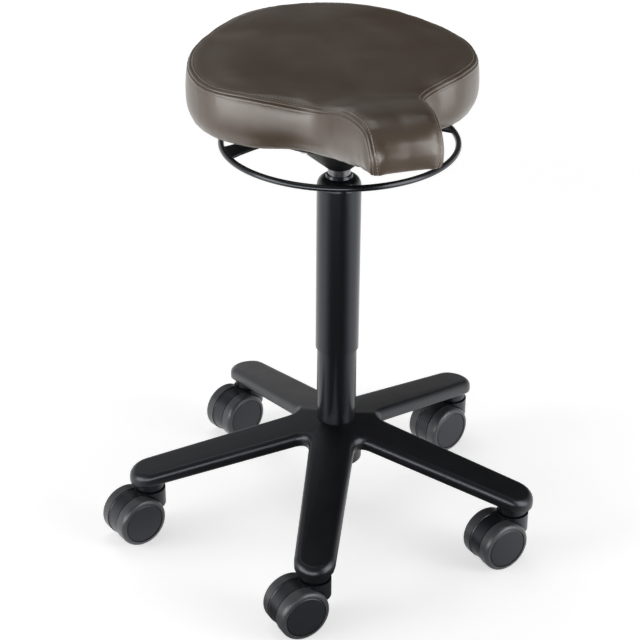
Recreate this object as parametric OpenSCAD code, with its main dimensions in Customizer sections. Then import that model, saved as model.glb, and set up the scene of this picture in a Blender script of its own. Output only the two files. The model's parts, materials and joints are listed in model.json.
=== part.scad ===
// Height-adjustable saddle stool on a five-arm caster base, with a ring lever round the column.
// The column stands on the origin, the floor is at height zero and the horn of the seat points to -Y.

/* [Base] */
// Distance from the column axis to each caster stem
arm_reach = 243; // [200:1:290]
// Width of an arm at the column axis
arm_root_w = 59; // [50:1:66]
// Width of an arm over the caster stem
arm_tip_w = 49.5; // [46:0.5:56]
// Height of an arm's top face over the caster stem
arm_tip_top = 97; // [92:1:115]
// Fall of the arms from the hub to the tips, in degrees
arm_slope = 12; // [4:1:15]
// Depth of an arm's side
arm_depth = 18; // [14:1:24]
// Thickness of an arm's side wall
arm_wall = 5.5; // [4.5:0.5:7]
// Thickness of an arm's top plate
arm_plate = 5; // [3:0.5:6]
// Corner radius between two arms
crotch_r = 14; // [8:1:24]
// Direction of the first arm, in degrees
base_turn = -114; // [-180:1:180]
// Outer diameter of the hub boss under the arms
hub_d = 66; // [60:1:80]
// Height of the hub's lower rim
hub_foot = 86; // [78:1:100]

/* [Column] */
// Outer diameter of the stand tube
tube_d = 50; // [48:0.5:54]
// Wall of the stand tube
tube_wall = 2; // [1.5:0.5:3]
// Wall of the cover sleeve round the stand tube
sleeve_wall = 2; // [1.5:0.5:3]
// Height of the sleeve's lower end
sleeve_foot = 245; // [180:1:300]
// Height of the sleeve's upper end
sleeve_head = 466; // [440:1:520]
// Height of the domed cap over the sleeve
cap_h = 15; // [10:1:20]
// Diameter of the gas cylinder
cylinder_d = 28; // [27:0.5:30]
// Length of cylinder that shows with the seat at its lowest
cylinder_shown = 9; // [4:1:30]
// Lift of the seat
stroke = 250; // [120:5:260]

/* [Casters] */
// Diameter of the wheels
wheel_d = 65; // [58:1:72]
// Width of one wheel
wheel_w = 17; // [14:0.5:19]
// Gap between the two wheels of a caster
wheel_gap = 18; // [14:0.5:20]
// Distance from the stem to the axle
trail = 25; // [20:1:28]
// Diameter of the collar round the stem
collar_d = 40; // [36:1:42]
// Height of the collar's rim
collar_top = 66; // [64:0.5:72]
// Diameter of the stem
stem_d = 11; // [10:0.5:12]
// Direction in which each caster trails, in degrees
caster_turns = [191, 194, 203, 204, 199];

/* [Lever] */
// Diameter of the ring lever, over the middle of its bar
ring_d = 281; // [240:1:300]
// Thickness of the ring's bar
ring_bar = 7.5; // [6:0.5:10]
// Height of the ring below the seat board's underside
ring_drop = 28; // [20:1:34]
// Width of the strip that carries the ring
strip_w = 26; // [20:1:30]
// Thickness of the strip
strip_t = 3; // [2:0.5:4]
// Tilt of the ring lever when it is pressed, in degrees
lever_tilt = 2.5; // [1:0.5:3]

/* [Seat] */
// Width of the seat over its side seams
seat_w = 346; // [300:1:400]
// Distance from the column axis to the rear seam
rear_reach = 198; // [170:1:230]
// Distance from the column axis to the front of the horn
horn_reach = 231; // [200:1:260]
// Height of the mechanism between the cylinder's visible end and the seat board
mechanism_h = 61; // [58:1:75]
// Thickness of the seat board
board_t = 12; // [9:1:15]
// Height of the side seam above the board's underside at the waist of the saddle
waist_h = 54; // [45:1:70]
// Height of the side seam above the board's underside at the rear
rear_h = 78; // [70:1:95]
// Height by which the underside rises from the board to the front of the horn
horn_lift = 25; // [0:1:40]
// Thickness of the cover
skin_t = 1.8; // [1.2:0.2:2.4]
// Swell of the side bands
band_swell = 2; // [0:0.5:8]

/* [Hidden] */
CASTERS = [1, 2, 3, 4, 5];
$fn = 72;

black = "#17181a";
graphite = "#2b2d30";
tread_grey = "#55565a";
steel = "#b9bcc0";
hide = "#544b43";
hide_light = "#6e655d";

// Clearances and small sizes shared by several pieces
cut = 1;             // overrun of a cut past the face it opens
fit = 0.05;          // gap between pieces pressed or laid together
running = 0.1;       // gap round a shaft that slides or turns
play = 0.3;          // gap between pieces that move past each other
arm_count = 5;
arm_step = 360 / arm_count;

// A point part of the way from a to b
function mix(a, b, s) = a + (b - a) * s;
// A smooth curve through p1 and p2
function smooth(p0, p1, p2, p3, s) =
    (2 * p1 + (p2 - p0) * s + (2 * p0 - 5 * p1 + 4 * p2 - p3) * s * s
        + (3 * p1 - p0 - 3 * p2 + p3) * s * s * s) / 2;
// Zero below a, one above b, and an even rise between them
function ramp(x, a, b) = let (s = min(1, max(0, (x - a) / (b - a)))) s * s * (3 - 2 * s);
function joined(lists) = [for (l = lists) for (item = l) item];

// The two triangles of one cell in a net of rings with n points each
function cell(i, j, n) = let (k = (j + 1) % n)
    [[i * n + j, (i + 1) * n + j, (i + 1) * n + k], [i * n + j, (i + 1) * n + k, i * n + k]];

// A closed skin through rings of equal length, from a point at its start to a point at its end
module ring_skin(rings, start_point, end_point) {
    n = len(rings[0]);
    m = len(rings);
    points = concat(joined(rings), [start_point, end_point]);
    sides = joined([for (i = [0:m - 2]) joined([for (j = [0:n - 1]) cell(i, j, n)])]);
    start_fan = [for (j = [0:n - 1]) [m * n, j, (j + 1) % n]];
    end_fan = [for (j = [0:n - 1]) [m * n + 1, (m - 1) * n + (j + 1) % n, (m - 1) * n + j]];
    polyhedron(points, concat(sides, start_fan, end_fan), convexity = 6);
}

/* Base */
arm_taper = (arm_tip_w - arm_root_w) / 2 / arm_reach;
arm_edge_r = 8;      // rounding of an arm's upper edge
arm_foot_r = 4;      // rounding of an arm's lower edge
arm_rib = 4;         // thickness of the ribs under an arm
rib_rise = 2.5;      // height of the ribs' lower edge over the arm's
rib_shares = [0.42, 0.62]; // places of the cross ribs along an arm
tip_steps = 10;
crotch_steps = 6;
bisector = arm_step / 2;
crotch_s = (crotch_r * sqrt(1 + arm_taper * arm_taper) + arm_root_w / 2)
    / (sin(bisector) - arm_taper * cos(bisector));
crotch_from = -90 - atan(-arm_taper);
crotch_turn = 2 * (bisector + 180 - 360 - crotch_from);

function turned(p, a) = [p[0] * cos(a) - p[1] * sin(a), p[0] * sin(a) + p[1] * cos(a)];
// Height of the arms' top face at a distance along an arm
function arm_top(along) = arm_tip_top + (arm_reach - along) * tan(arm_slope);
// One arm's share of the base outline, drawn in from the edge by d
function arm_outline(d) = concat(
    [for (k = [0:tip_steps]) let (a = -90 + 180 * k / tip_steps, r = arm_tip_w / 2 - d)
        [arm_reach + r * cos(a), r * sin(a)]],
    [for (k = [0:crotch_steps]) let (a = crotch_from + crotch_turn * k / crotch_steps, r = crotch_r + d)
        [crotch_s * cos(bisector) + r * cos(a), crotch_s * sin(bisector) + r * sin(a)]]);
// How far along its nearest arm a point of the outline lies
function along_arm(p) = max(p[0], turned(p, -arm_step)[0]);
// The whole base outline as a ring, drawn in by d and sunk below the top face by h
function base_ring(d, h) = joined([for (k = [0:arm_count - 1])
    [for (p = arm_outline(d)) let (q = turned(p, base_turn + k * arm_step))
        [q[0], q[1], arm_top(along_arm(p)) - h]]]);

module arm_web(from, to, thickness) {
    rotate([90, 0, 0])
        translate([0, 0, -thickness / 2])
            linear_extrude(thickness)
                polygon([[from, arm_top(from) - arm_depth + rib_rise], [to, arm_top(to) - arm_depth + rib_rise],
                    [to, arm_top(to) - arm_plate / 2], [from, arm_top(from) - arm_plate / 2]]);
}

module cross_rib(share) {
    x = arm_reach * share;
    half = arm_root_w / 2 + arm_taper * x - arm_wall / 2;
    translate([x - arm_rib / 2, -half, arm_top(x) - arm_depth + rib_rise])
        cube([arm_rib, 2 * half, arm_depth - rib_rise - arm_plate / 2]);
}

swivel_gap = 2;      // height between the bosses of the base and the casters' collars
boss_inset = 2;      // how far the bosses stand in from the collars' edge
boss_foot = collar_top + swivel_gap;
socket_top = arm_tip_top - arm_plate - swivel_gap;
module stem_boss() {
    intersection() {
        translate([arm_reach, 0, boss_foot])
            rotate(bisector)
                cylinder(d = collar_d - 2 * boss_inset, h = arm_tip_top - boss_foot + arm_plate);
        rotate([90, 0, 0])
            translate([0, 0, -arm_tip_w / 2])
                linear_extrude(arm_tip_w)
                    polygon([[arm_reach - arm_tip_w, boss_foot - cut], [arm_reach + arm_tip_w, boss_foot - cut],
                        [arm_reach + arm_tip_w, arm_top(arm_reach + arm_tip_w) - arm_plate / 2],
                        [arm_reach - arm_tip_w, arm_top(arm_reach - arm_tip_w) - arm_plate / 2]]);
    }
}

tube_taper = 0.9;    // how much the tube's radius shrinks in the hub
hub_top = arm_top(hub_d / 2) - arm_plate / 3;
hub_bore_top = arm_top(0) + cut;
module star_base() {
    color(black)
        difference() {
            union() {
                ring_skin([
                    base_ring(arm_wall, arm_plate),
                    base_ring(arm_wall, arm_depth),
                    base_ring(arm_foot_r, arm_depth),
                    for (a = [30, 60, 90]) base_ring(arm_foot_r * (1 - sin(a)), arm_depth - arm_foot_r * (1 - cos(a))),
                    for (a = [0:22.5:90]) base_ring(arm_edge_r * (1 - cos(a)), arm_edge_r * (1 - sin(a)))],
                    [0, 0, arm_top(0) - arm_plate], [0, 0, arm_top(0)]);
                translate([0, 0, hub_foot])
                    cylinder(d = hub_d, h = hub_top - hub_foot);
                for (k = [0:arm_count - 1])
                    rotate(base_turn + k * arm_step) {
                        arm_web(hub_d / 2 - arm_rib, arm_reach - collar_d / 2 + arm_rib, arm_rib);
                        stem_boss();
                        for (s = rib_shares) cross_rib(s);
                    }
            }
            translate([0, 0, hub_foot - cut])
                cylinder(r1 = tube_d / 2 - tube_taper + fit, r2 = tube_d / 2 + fit, h = hub_bore_top - hub_foot + cut);
            for (k = [0:arm_count - 1])
                rotate(base_turn + k * arm_step)
                    translate([arm_reach, 0, boss_foot - cut])
                        cylinder(d = stem_d + 2 * fit, h = socket_top - boss_foot + cut);
        }
}

/* Column */
tube_foot = hub_foot + 2;
tube_floor = 3;      // thickness of the tube's closed end
tube_bore = tube_d - 2 * tube_wall;
rod_d = 10;
module stand_tube() {
    color(black)
        rotate_extrude()
            polygon([[rod_d / 2 + play, tube_foot], [tube_d / 2 - tube_taper, tube_foot],
                [tube_d / 2, hub_bore_top], [tube_d / 2, sleeve_head], [tube_bore / 2, sleeve_head],
                [tube_bore / 2, hub_bore_top],
                [tube_bore / 2 - tube_taper, tube_foot + tube_floor], [rod_d / 2 + play, tube_foot + tube_floor]]);
}

sleeve_bore = tube_d + 2 * running;
sleeve_d = sleeve_bore + 2 * sleeve_wall;
sleeve_chamfer = 0.8;
module column_sleeve() {
    color(black)
        rotate_extrude()
            polygon([[sleeve_bore / 2, sleeve_foot], [sleeve_d / 2 - sleeve_chamfer, sleeve_foot],
                [sleeve_d / 2, sleeve_foot + sleeve_chamfer], [sleeve_d / 2, sleeve_head],
                [sleeve_bore / 2, sleeve_head]]);
}

cap_lip = 1.2;       // wall of the cap's lip round the cylinder
cap_gap = 0.4;       // gap between the cap's lip and the cylinder
cap_lip_h = 3;
cap_bore = cylinder_d / 2 + cap_gap;
cap_steps = 8;
module sleeve_cap() {
    dome_h = cap_h - cap_lip_h;
    dome_foot = cap_bore + 2 * cap_lip;
    dome = [for (k = [0:cap_steps]) let (a = 90 * k / cap_steps)
        [dome_foot + (sleeve_d / 2 - dome_foot) * cos(a), sleeve_head + fit + dome_h * sin(a)]];
    color(black)
        rotate_extrude()
            polygon(concat([[cap_bore, sleeve_head + fit]], dome,
                [[cap_bore + cap_lip, sleeve_head + cap_h], [cap_bore, sleeve_head + cap_h]]));
}

bush_l = 86;
bush_groove = 1.5;
module guide_bush() {
    color(graphite)
        difference() {
            translate([0, 0, sleeve_head - bush_l])
                cylinder(d = tube_bore - 2 * fit, h = bush_l);
            translate([0, 0, sleeve_head - bush_l - cut])
                cylinder(d = cylinder_d + 2 * running, h = bush_l + 2 * cut);
            for (share = [0.3, 0.6])
                translate([0, 0, sleeve_head - bush_l * share])
                    difference() {
                        cylinder(d = tube_bore + cut, h = bush_l / 8);
                        translate([0, 0, -cut])
                            cylinder(d = tube_bore - 2 * bush_groove, h = bush_l / 8 + 2 * cut);
                    }
        }
}

// The thrust stack stands on the tube's closed end, one piece above the next
race_d = 26;
race_t = 1.5;
bearing_t = 4;
buffer_h = 12;
buffer_d = 24;
ball_count = 10;
race_z = tube_foot + tube_floor + fit;
bearing_z = race_z + race_t + play / 2;
upper_race_z = bearing_z + bearing_t + fit;
buffer_z = upper_race_z + race_t + fit;
cylinder_foot = buffer_z + buffer_h + play;

module washer(z, outer, inner, t) {
    translate([0, 0, z])
        difference() {
            cylinder(d = outer, h = t);
            translate([0, 0, -cut])
                cylinder(d = inner, h = t + 2 * cut);
        }
}

module lower_race() {
    color(steel)
        washer(race_z, race_d, rod_d + 2 * play, race_t);
}

module thrust_bearing() {
    ring_r = (race_d + rod_d) / 4;
    color(steel)
        union() {
            washer(bearing_z + bearing_t / 4, race_d - play, rod_d + 2 * running, bearing_t / 2);
            for (k = [0:ball_count - 1])
                rotate(k * 360 / ball_count)
                    translate([ring_r, 0, bearing_z + bearing_t / 2])
                        sphere(d = bearing_t, $fn = 24);
        }
}

module upper_race() {
    color(steel)
        washer(upper_race_z, race_d, rod_d + 2 * running, race_t);
}

module rubber_buffer() {
    color(graphite)
        washer(buffer_z, buffer_d, rod_d + 2 * running, buffer_h);
}

cylinder_wall = 2;
seal_h = 22;
piston_h = 9;
piston_d = cylinder_d - 2 * cylinder_wall - 2 * running;
rod_drop = 4;        // how far the rod stands out under the tube
rod_foot = tube_foot - rod_drop;
piston_z = cylinder_foot + seal_h + stroke + piston_h;
clip_t = 1.2;
clip_d = 17;
clip_z = tube_foot - clip_t - play;
clip_groove = 1.2;
rod_bevel = 1;
module piston_rod() {
    neck = rod_d / 2 - clip_groove;
    groove_top = clip_z + clip_t + fit;
    color(steel)
        rotate_extrude()
            polygon([[0, rod_foot], [rod_d / 2 - rod_bevel, rod_foot], [rod_d / 2, rod_foot + rod_bevel],
                [rod_d / 2, clip_z - fit], [neck, clip_z - fit], [neck, groove_top], [rod_d / 2, groove_top],
                [rod_d / 2, piston_z], [piston_d / 2, piston_z], [piston_d / 2, piston_z + piston_h],
                [0, piston_z + piston_h]]);
}

module rod_clip() {
    neck = rod_d / 2 - clip_groove + fit;
    color(steel)
        translate([0, 0, clip_z])
            difference() {
                cylinder(d = clip_d, h = clip_t);
                translate([0, 0, -cut])
                    cylinder(r = neck, h = clip_t + 2 * cut);
                translate([0, -neck, -cut])
                    cube([clip_d, 2 * neck, clip_t + 2 * cut]);
            }
}

// The seat's heights follow the column's
housing_foot = sleeve_head + cap_h + cylinder_shown;
board_z = housing_foot + mechanism_h;
plate_t = 2.5;
plate_z = board_z - plate_t;
strip_z = plate_z - play - strip_t;
ring_z = board_z - ring_drop;

taper = 1.2;         // how much the radius shrinks over the cylinder's tapered end
pin_d = 8;
pin_shown = 5.6;
cylinder_head = strip_z - 2 * play - pin_shown;
pin_l = 26;
pin_z = cylinder_head + pin_shown - pin_l;
pin_travel = 2.5;
module gas_cylinder() {
    bore = cylinder_d / 2 - cylinder_wall;
    plug = housing_foot - cylinder_wall * 4;
    color(graphite)
        difference() {
            rotate_extrude()
                polygon([[rod_d / 2 + running, cylinder_foot], [cylinder_d / 2 - rod_bevel, cylinder_foot],
                    [cylinder_d / 2, cylinder_foot + rod_bevel], [cylinder_d / 2, housing_foot],
                    [cylinder_d / 2 - taper, cylinder_head], [0, cylinder_head], [0, plug], [bore, plug],
                    [bore, cylinder_foot + seal_h], [rod_d / 2 + running, cylinder_foot + seal_h]]);
            translate([0, 0, pin_z - pin_travel - play])
                cylinder(d = pin_d + 2 * running, h = pin_l + pin_travel + play + cut);
        }
}

module release_pin() {
    color(steel)
        rotate_extrude()
            polygon([[0, pin_z], [pin_d / 2, pin_z], [pin_d / 2, pin_z + pin_l - rod_bevel],
                [pin_d / 2 - rod_bevel, pin_z + pin_l], [0, pin_z + pin_l]]);
}

/* Mechanism under the seat */
plate_d = 200;
bolt_r = 90;         // distance of the bolts from the axis
bolt_d = 6;
bolt_turn = 45;
flange_t = 3;
flange_z = plate_z - flange_t;
housing_lip = 1.8;
housing_wall = 2.5;
cone_r = bolt_r - bolt_d * 1.3;
slot_side = 2;       // room at each side of the strip in its slot
slot_w = strip_w + 2 * slot_side;
bend_x = 40;         // distance from the axis where the strip bends down to the ring
strip_fall = (strip_z + strip_t / 2 - ring_z) / (ring_d / 2 - bend_x);
module at_bolts() {
    for (k = [0:3])
        rotate(bolt_turn + k * 90)
            translate([bolt_r, 0, 0])
                children();
}

module mechanism_housing() {
    lip = cylinder_d / 2 + fit;
    cone_foot = lip + housing_lip;
    slope = (flange_z - housing_foot) / (cone_r - cone_foot);
    drop = housing_wall * sqrt(1 + slope * slope);
    socket = cylinder_d / 2 + housing_wall + housing_lip;
    color(black)
        difference() {
            rotate_extrude()
                polygon([[lip, housing_foot], [cone_foot, housing_foot], [cone_r, flange_z],
                    [plate_d / 2, flange_z], [plate_d / 2, plate_z], [cone_r - drop / slope, plate_z],
                    [socket, housing_foot + (socket - cone_foot) * slope + drop],
                    [socket, cylinder_head], [lip - taper, cylinder_head]]);
            for (side = [0, 180])
                rotate(side)
                    translate([cone_r / 2, -slot_w / 2, flange_z - cone_r / 2 * slope])
                        cube([cone_r / 2 + play, slot_w, cone_r / 2 * slope + flange_t / 2 - play]);
            at_bolts()
                translate([0, 0, flange_z - cut])
                    cylinder(d = bolt_d + 2 * running, h = flange_t + 2 * cut);
        }
}

module mounting_plate() {
    color(black)
        difference() {
            translate([0, 0, plate_z])
                cylinder(d = plate_d, h = plate_t);
            at_bolts()
                translate([0, 0, plate_z - cut])
                    cylinder(d = bolt_d + 2 * running, h = plate_t + 2 * cut);
        }
}

head_h = 4;
head_d = 11;
module mounting_bolts() {
    color(steel)
        at_bolts()
            union() {
                translate([0, 0, flange_z - head_h])
                    cylinder(d = head_d, h = head_h, $fn = 6);
                translate([0, 0, flange_z - head_h / 2])
                    cylinder(d = bolt_d, h = plate_t + flange_t + board_t - head_h + head_h / 2);
            }
}

nut_flange_d = 18;
nut_flange_t = 1.5;
nut_barrel_d = 8.5;
nut_l = 9;
module tee_nuts() {
    color(steel)
        at_bolts()
            translate([0, 0, board_z + board_t - nut_l])
                difference() {
                    union() {
                        cylinder(d = nut_barrel_d, h = nut_l);
                        translate([0, 0, nut_l - nut_flange_t])
                            cylinder(d = nut_flange_d, h = nut_flange_t);
                    }
                    translate([0, 0, -cut])
                        cylinder(d = bolt_d + 2 * running, h = nut_l + 2 * cut);
                }
}

module lever_ring() {
    color(black)
        translate([0, 0, ring_z])
            rotate_extrude($fn = 120)
                translate([ring_d / 2, 0])
                    circle(d = ring_bar, $fn = 24);
}

flare_w = strip_w * 1.4;
flare_l = 16;
module lever_strip() {
    end_x = ring_d / 2;
    end_z = strip_z - strip_fall * (end_x - bend_x);
    color(black)
        difference() {
            intersection() {
                rotate([90, 0, 0])
                    translate([0, 0, -flare_w])
                        linear_extrude(2 * flare_w)
                            polygon([[-end_x, end_z], [-bend_x, strip_z], [bend_x, strip_z], [end_x, end_z],
                                [end_x, end_z + strip_t], [bend_x, strip_z + strip_t],
                                [-bend_x, strip_z + strip_t], [-end_x, end_z + strip_t]]);
                translate([0, 0, ring_z - flare_w])
                    linear_extrude(plate_z - ring_z + flare_w)
                        polygon(joined([for (side = [1, -1]) [
                            [side * (end_x - 2 * flare_l), -side * strip_w / 2],
                            [side * (end_x - flare_l), -side * (strip_w * 0.54)],
                            [side * (end_x - flare_l / 3), -side * (strip_w * 0.62)],
                            [side * (end_x - ring_bar / 4), -side * flare_w / 2],
                            [side * end_x, 0],
                            [side * (end_x - ring_bar / 4), side * flare_w / 2],
                            [side * (end_x - flare_l / 3), side * (strip_w * 0.62)],
                            [side * (end_x - flare_l), side * (strip_w * 0.54)],
                            [side * (end_x - 2 * flare_l), side * strip_w / 2]]]));
            }
            translate([0, 0, ring_z])
                rotate_extrude($fn = 120)
                    translate([ring_d / 2, 0])
                        circle(d = ring_bar, $fn = 24);
        }
}

/* Seat */
// Half of the side seam, from the rear to the foot of the horn: shares of half the width, of the reach
// behind or before the axis, and of the height from the waist to the rear
seam_shares = [
    [0, 1, 0.92], [0.363, 0.884, 1.04], [0.626, 0.687, 1.04], [0.883, 0.475, 0.67], [1, 0.182, 0.44],
    [0.95, -0.08, 0.29], [0.737, -0.273, 0.33], [0.48, -0.36, 0], [0.351, -0.48, 0.08],
    [0.285, -0.685, 0.62], [0.249, -0.88, 0.62], [0.24, -0.965, -0.2], [0.222, -0.975, -1.25]];
// The middle line of the top beside the same places: shares of the reach and of the height
ridge_shares = [
    [0.49, 0.9], [0.45, 0.88], [0.345, 0.78], [0.22, 0.6], [0.07, 0.38], [-0.08, 0.17],
    [-0.215, 0.04], [-0.345, 0.06], [-0.485, 0.21], [-0.685, 0.625], [-0.86, 0.73], [-0.97, 0.04],
    [-1, -0.92]];
side_spans = len(seam_shares) - 1;
span_steps = 4;
side_n = side_spans * span_steps;
top_steps = [0, 0.08, 0.2, 0.4, 0.7, 1];
band_steps = [0, 0.1, 0.3, 0.7, 1];
top_rows = len(top_steps);
half_n = side_n + top_rows - 1;
net_n = 2 * half_n;
nose_from = (side_spans - 2) * span_steps; // where the seam starts to turn down round the horn
seam_z = board_z + waist_h;
seam_rise = rear_h - waist_h;
crown = 13;          // how far the top stands over its seam near the edge
crown_in = 4;        // how far the top leans in over its seam
nose_round = 12;     // how far the horn's front is rounded off from its seams
foot_inset = 8;      // how far the bands draw in at their lower edge
foot_share = 0.26;   // share of a band's height that draws in
min_band = 2.5;      // least height of a band, at the foot of the horn
seam_gap_share = 0.985; // place on a band where it stops short of the seam

function reach(share) = share * (share > 0 ? rear_reach : horn_reach);
function seam_station(k) = k < 0 ? seam_flip(seam_station(-k))
    : k > side_spans ? 2 * seam_station(side_spans) - seam_station(side_spans - 1)
    : let (row = seam_shares[k]) [row[0] * seat_w / 2, reach(row[1]), seam_z + row[2] * seam_rise];
function seam_flip(p) = [-p[0], p[1], p[2]];
function ridge_station(k) = let (row = ridge_shares[min(side_spans, abs(k))])
    [0, reach(row[0]), seam_z + row[1] * seam_rise];
function seam_curve(h) = let (k = min(side_spans - 1, floor(h / span_steps)), s = h / span_steps - k)
    smooth(seam_station(k - 1), seam_station(k), seam_station(k + 1), seam_station(k + 2), s);
function ridge(h) = let (k = min(side_spans - 1, floor(h / span_steps)), s = h / span_steps - k)
    smooth(ridge_station(k - 1), ridge_station(k), ridge_station(k + 1), ridge_station(k + 2), s);
function flat_unit(v) = let (l = sqrt(v[0] * v[0] + v[1] * v[1])) [v[0] / l, v[1] / l, 0];
// Sideways direction out of the seat at each place along the seam
side_out = [for (h = [0:side_n]) let (at = min(h, nose_from), v = seam_curve(at + 1) - seam_curve(at - 1))
    flat_unit([-v[1], v[0]])];
// How far the top has turned from facing up to facing forward, in degrees
function nose_turn(h) = 90 * ramp(h, nose_from - span_steps, side_n);

// A point on the top: u goes from the seam to the middle line, d is the depth under the surface
function top_point(h, u, d) = let (a = seam_curve(h), b = ridge(h), out = side_out[h], w = 1 - u,
        t = nose_turn(h), away = [0, -sin(t), cos(t)],
        k1 = a + away * crown * 0.9 - out * mix(crown_in, nose_round, sin(t)),
        k2 = [a[0] * 0.45, mix(a[1], b[1], mix(0.5, 1, sin(t))), b[2]])
    a * w * w * w + k1 * 3 * w * w * u + k2 * 3 * w * u * u + b * u * u * u
        - out * d * pow(w, 6) - away * d;

// Half of the closed edge: along the seam, then across the foot of the horn's front
edge = [for (h = [0:half_n]) h <= side_n ? seam_curve(h) : top_point(side_n, top_steps[h - side_n], 0)];

// Heights of the bands' lower edge and of the board's top, which both rise towards the horn
lift_share = 0.44;    // share of the reach where the rise begins
board_share = 0.78;  // share of the reach where the board ends
foot_drop = 0.5;     // how far the bands reach below the board
board_lift = 0.78 * horn_lift;
function rise_share(y, full) = let (s = (-y / horn_reach - lift_share) / (full - lift_share))
    pow(min(1, max(0, s)), 1.15);
function foot_height(y) = board_z - foot_drop + horn_lift * rise_share(y, 1);
function board_height(y) = board_z + board_lift * rise_share(y, board_share);
foot = [for (h = [0:side_n]) let (p = edge[h], z = foot_height(p[1]), high = max(min_band, p[2] - z))
    [for (axis = [0:2]) axis < 2 ? p[axis] - side_out[h][axis] * foot_inset * min(1, high / waist_h)
        : p[2] - high]];

// A point on a side band: v goes from its lower edge to the seam, d is the depth under the surface
function band_point(h, v, d) = let (share = min(1, (edge[h][2] - foot[h][2]) / waist_h),
        inset = foot_inset * share * pow(max(0, 1 - v / foot_share), 2))
    mix(foot[h], edge[h], v) + side_out[h] * (foot_inset * share * (1 - v) - inset
        + band_swell * share * 4 * v * (1 - v) - d) - [0, 0, d * ramp(v, foot_share, 1)];

// A ring of points from its half, which runs down the right side; the left side mirrors it
function ring_of(half) = [for (j = [0:net_n - 1]) j <= half_n ? half[j] : seam_flip(half[net_n - j])];
function mirror(j) = (net_n - j) % net_n;

// Faces of the top: each side's columns meet on the middle line, and the last column is the horn's front
// edge, so its points belong to the ring. at is where the ring starts, inner_at where the rest starts.
function top_index(j, i, at, inner_at) = let (h = min(j, mirror(j)), right = j <= half_n)
    i == 0 ? at + j
    : h == side_n ? at + (right ? side_n + i : mirror(side_n + i))
    : i == top_rows - 1 ? inner_at + (top_rows - 2) * (2 * side_n - 1) + h
    : inner_at + (i - 1) * (2 * side_n - 1) + (right ? h : 2 * side_n - 1 - h);
side_js = concat([for (h = [0:side_n - 1]) h], [for (h = [side_n:-1:1]) mirror(h)]);
function top_faces(at, inner_at) = joined([for (j = side_js) let (k = (j + 1) % net_n)
    joined([for (i = [0:top_rows - 2]) let (a = top_index(j, i, at, inner_at), b = top_index(k, i, at, inner_at),
            c = top_index(j, i + 1, at, inner_at), e = top_index(k, i + 1, at, inner_at))
        concat([[a, b, e]], c == e ? [] : [[a, e, c]])])]);
// The points of the top that don't lie on its edge
function top_points(d) = concat(
    joined([for (i = [1:top_rows - 2]) concat([for (h = [0:side_n - 1]) top_point(h, top_steps[i], d)],
        [for (h = [side_n - 1:-1:1]) seam_flip(top_point(h, top_steps[i], d))])]),
    [for (h = [0:side_n - 1]) top_point(h, 1, d)]);
function edge_points(d) = ring_of([for (h = [0:half_n]) h <= side_n ? top_point(h, 0, d)
    : top_point(side_n, top_steps[h - side_n], d)]);
function flipped(faces) = [for (f = faces) [f[2], f[1], f[0]]];

module top_cover() {
    outer = concat(edge_points(0), top_points(0));
    inner = concat(edge_points(skin_t), top_points(skin_t));
    n = len(outer);
    rim = joined([for (j = [0:net_n - 1]) let (k = (j + 1) % net_n) [[j, n + k, k], [j, n + j, n + k]]]);
    color(hide)
        polyhedron(concat(outer, inner),
            concat(top_faces(0, net_n), flipped(top_faces(n, n + net_n)), rim), convexity = 6);
}

// One side band, from the rear seam to the foot of the horn
module band(side) {
    columns = [for (h = [0:side_n]) h];
    n = len(columns);
    rows = len(band_steps);
    function at(h, v, d) = let (p = band_point(h, min(v, seam_gap_share), d) + [h == 0 ? play : 0, 0, 0])
        [side * p[0], p[1], p[2]];
    outer = [for (v = band_steps) [for (h = columns) at(h, v, 0)]];
    inner = [for (v = band_steps) [for (h = columns) at(h, v, skin_t)]];
    size = rows * n;
    sheet = joined([for (i = [0:rows - 2]) joined([for (j = [0:n - 2])
        let (a = i * n + j, b = a + 1, c = a + n, e = c + 1) [[a, c, e], [a, e, b]]])]);
    around = concat([for (j = [0:n - 1]) j], [for (i = [1:rows - 1]) i * n + n - 1],
        [for (j = [n - 2:-1:0]) (rows - 1) * n + j], [for (i = [rows - 2:-1:1]) i * n]);
    rim = joined([for (k = [0:len(around) - 1]) let (a = around[k], b = around[(k + 1) % len(around)])
        [[a, b, size + b], [a, size + b, size + a]]]);
    faces = concat(sheet, [for (f = flipped(sheet)) [for (v = f) v + size]], rim);
    polyhedron(concat(joined(outer), joined(inner)), side > 0 ? flipped(faces) : faces, convexity = 6);
}

module left_band() {
    color(hide_light)
        band(-1);
}

module right_band() {
    color(hide_light)
        band(1);
}

// How far a piece inside the cover stands back from the horn's front
function back(h, d) = [0, d * sin(nose_turn(h)), 0];
// Faces across a symmetric ring of n points
function strips(base, n, up) = joined([for (j = [0:floor((n - 1) / 2)])
    let (a = base + j, b = base + j + 1, c = base + (n - j - 1) % n, e = base + (n - j) % n,
        faces = b > c ? [] : concat(b == c ? [] : [[a, b, c]], a == e ? [] : [[a, c, e]]))
    up ? flipped(faces) : faces]);

lining = skin_t + 2 * play;
module seat_board() {
    front = board_share * horn_reach;
    last = max([for (h = [0:side_n]) if (foot[h][1] > -front) h]);
    half = [for (h = [0:last + 1]) let (p = foot[h] - side_out[h] * lining) [p[0], max(p[1], -front)]];
    n = 2 * len(half) - 1;
    plan = [for (j = [0:n - 1]) j < len(half) ? half[j] : [-half[n - j][0], half[n - j][1]]];
    rings = [for (h = [0, board_t]) [for (p = plan) [p[0], p[1], board_height(p[1]) + h]]];
    color(graphite)
        difference() {
            polyhedron(joined(rings), concat(flipped(joined([for (j = [0:n - 1]) cell(0, j, n)])),
                strips(0, n, true), strips(n, n, false)), convexity = 4);
            at_bolts() {
                translate([0, 0, board_z - cut])
                    cylinder(d = nut_barrel_d + 2 * running, h = board_t + 2 * cut);
                translate([0, 0, board_z + board_t - nut_flange_t - play])
                    cylinder(d = nut_flange_d + 2 * running, h = nut_flange_t + play + cut);
            }
        }
}

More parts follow.
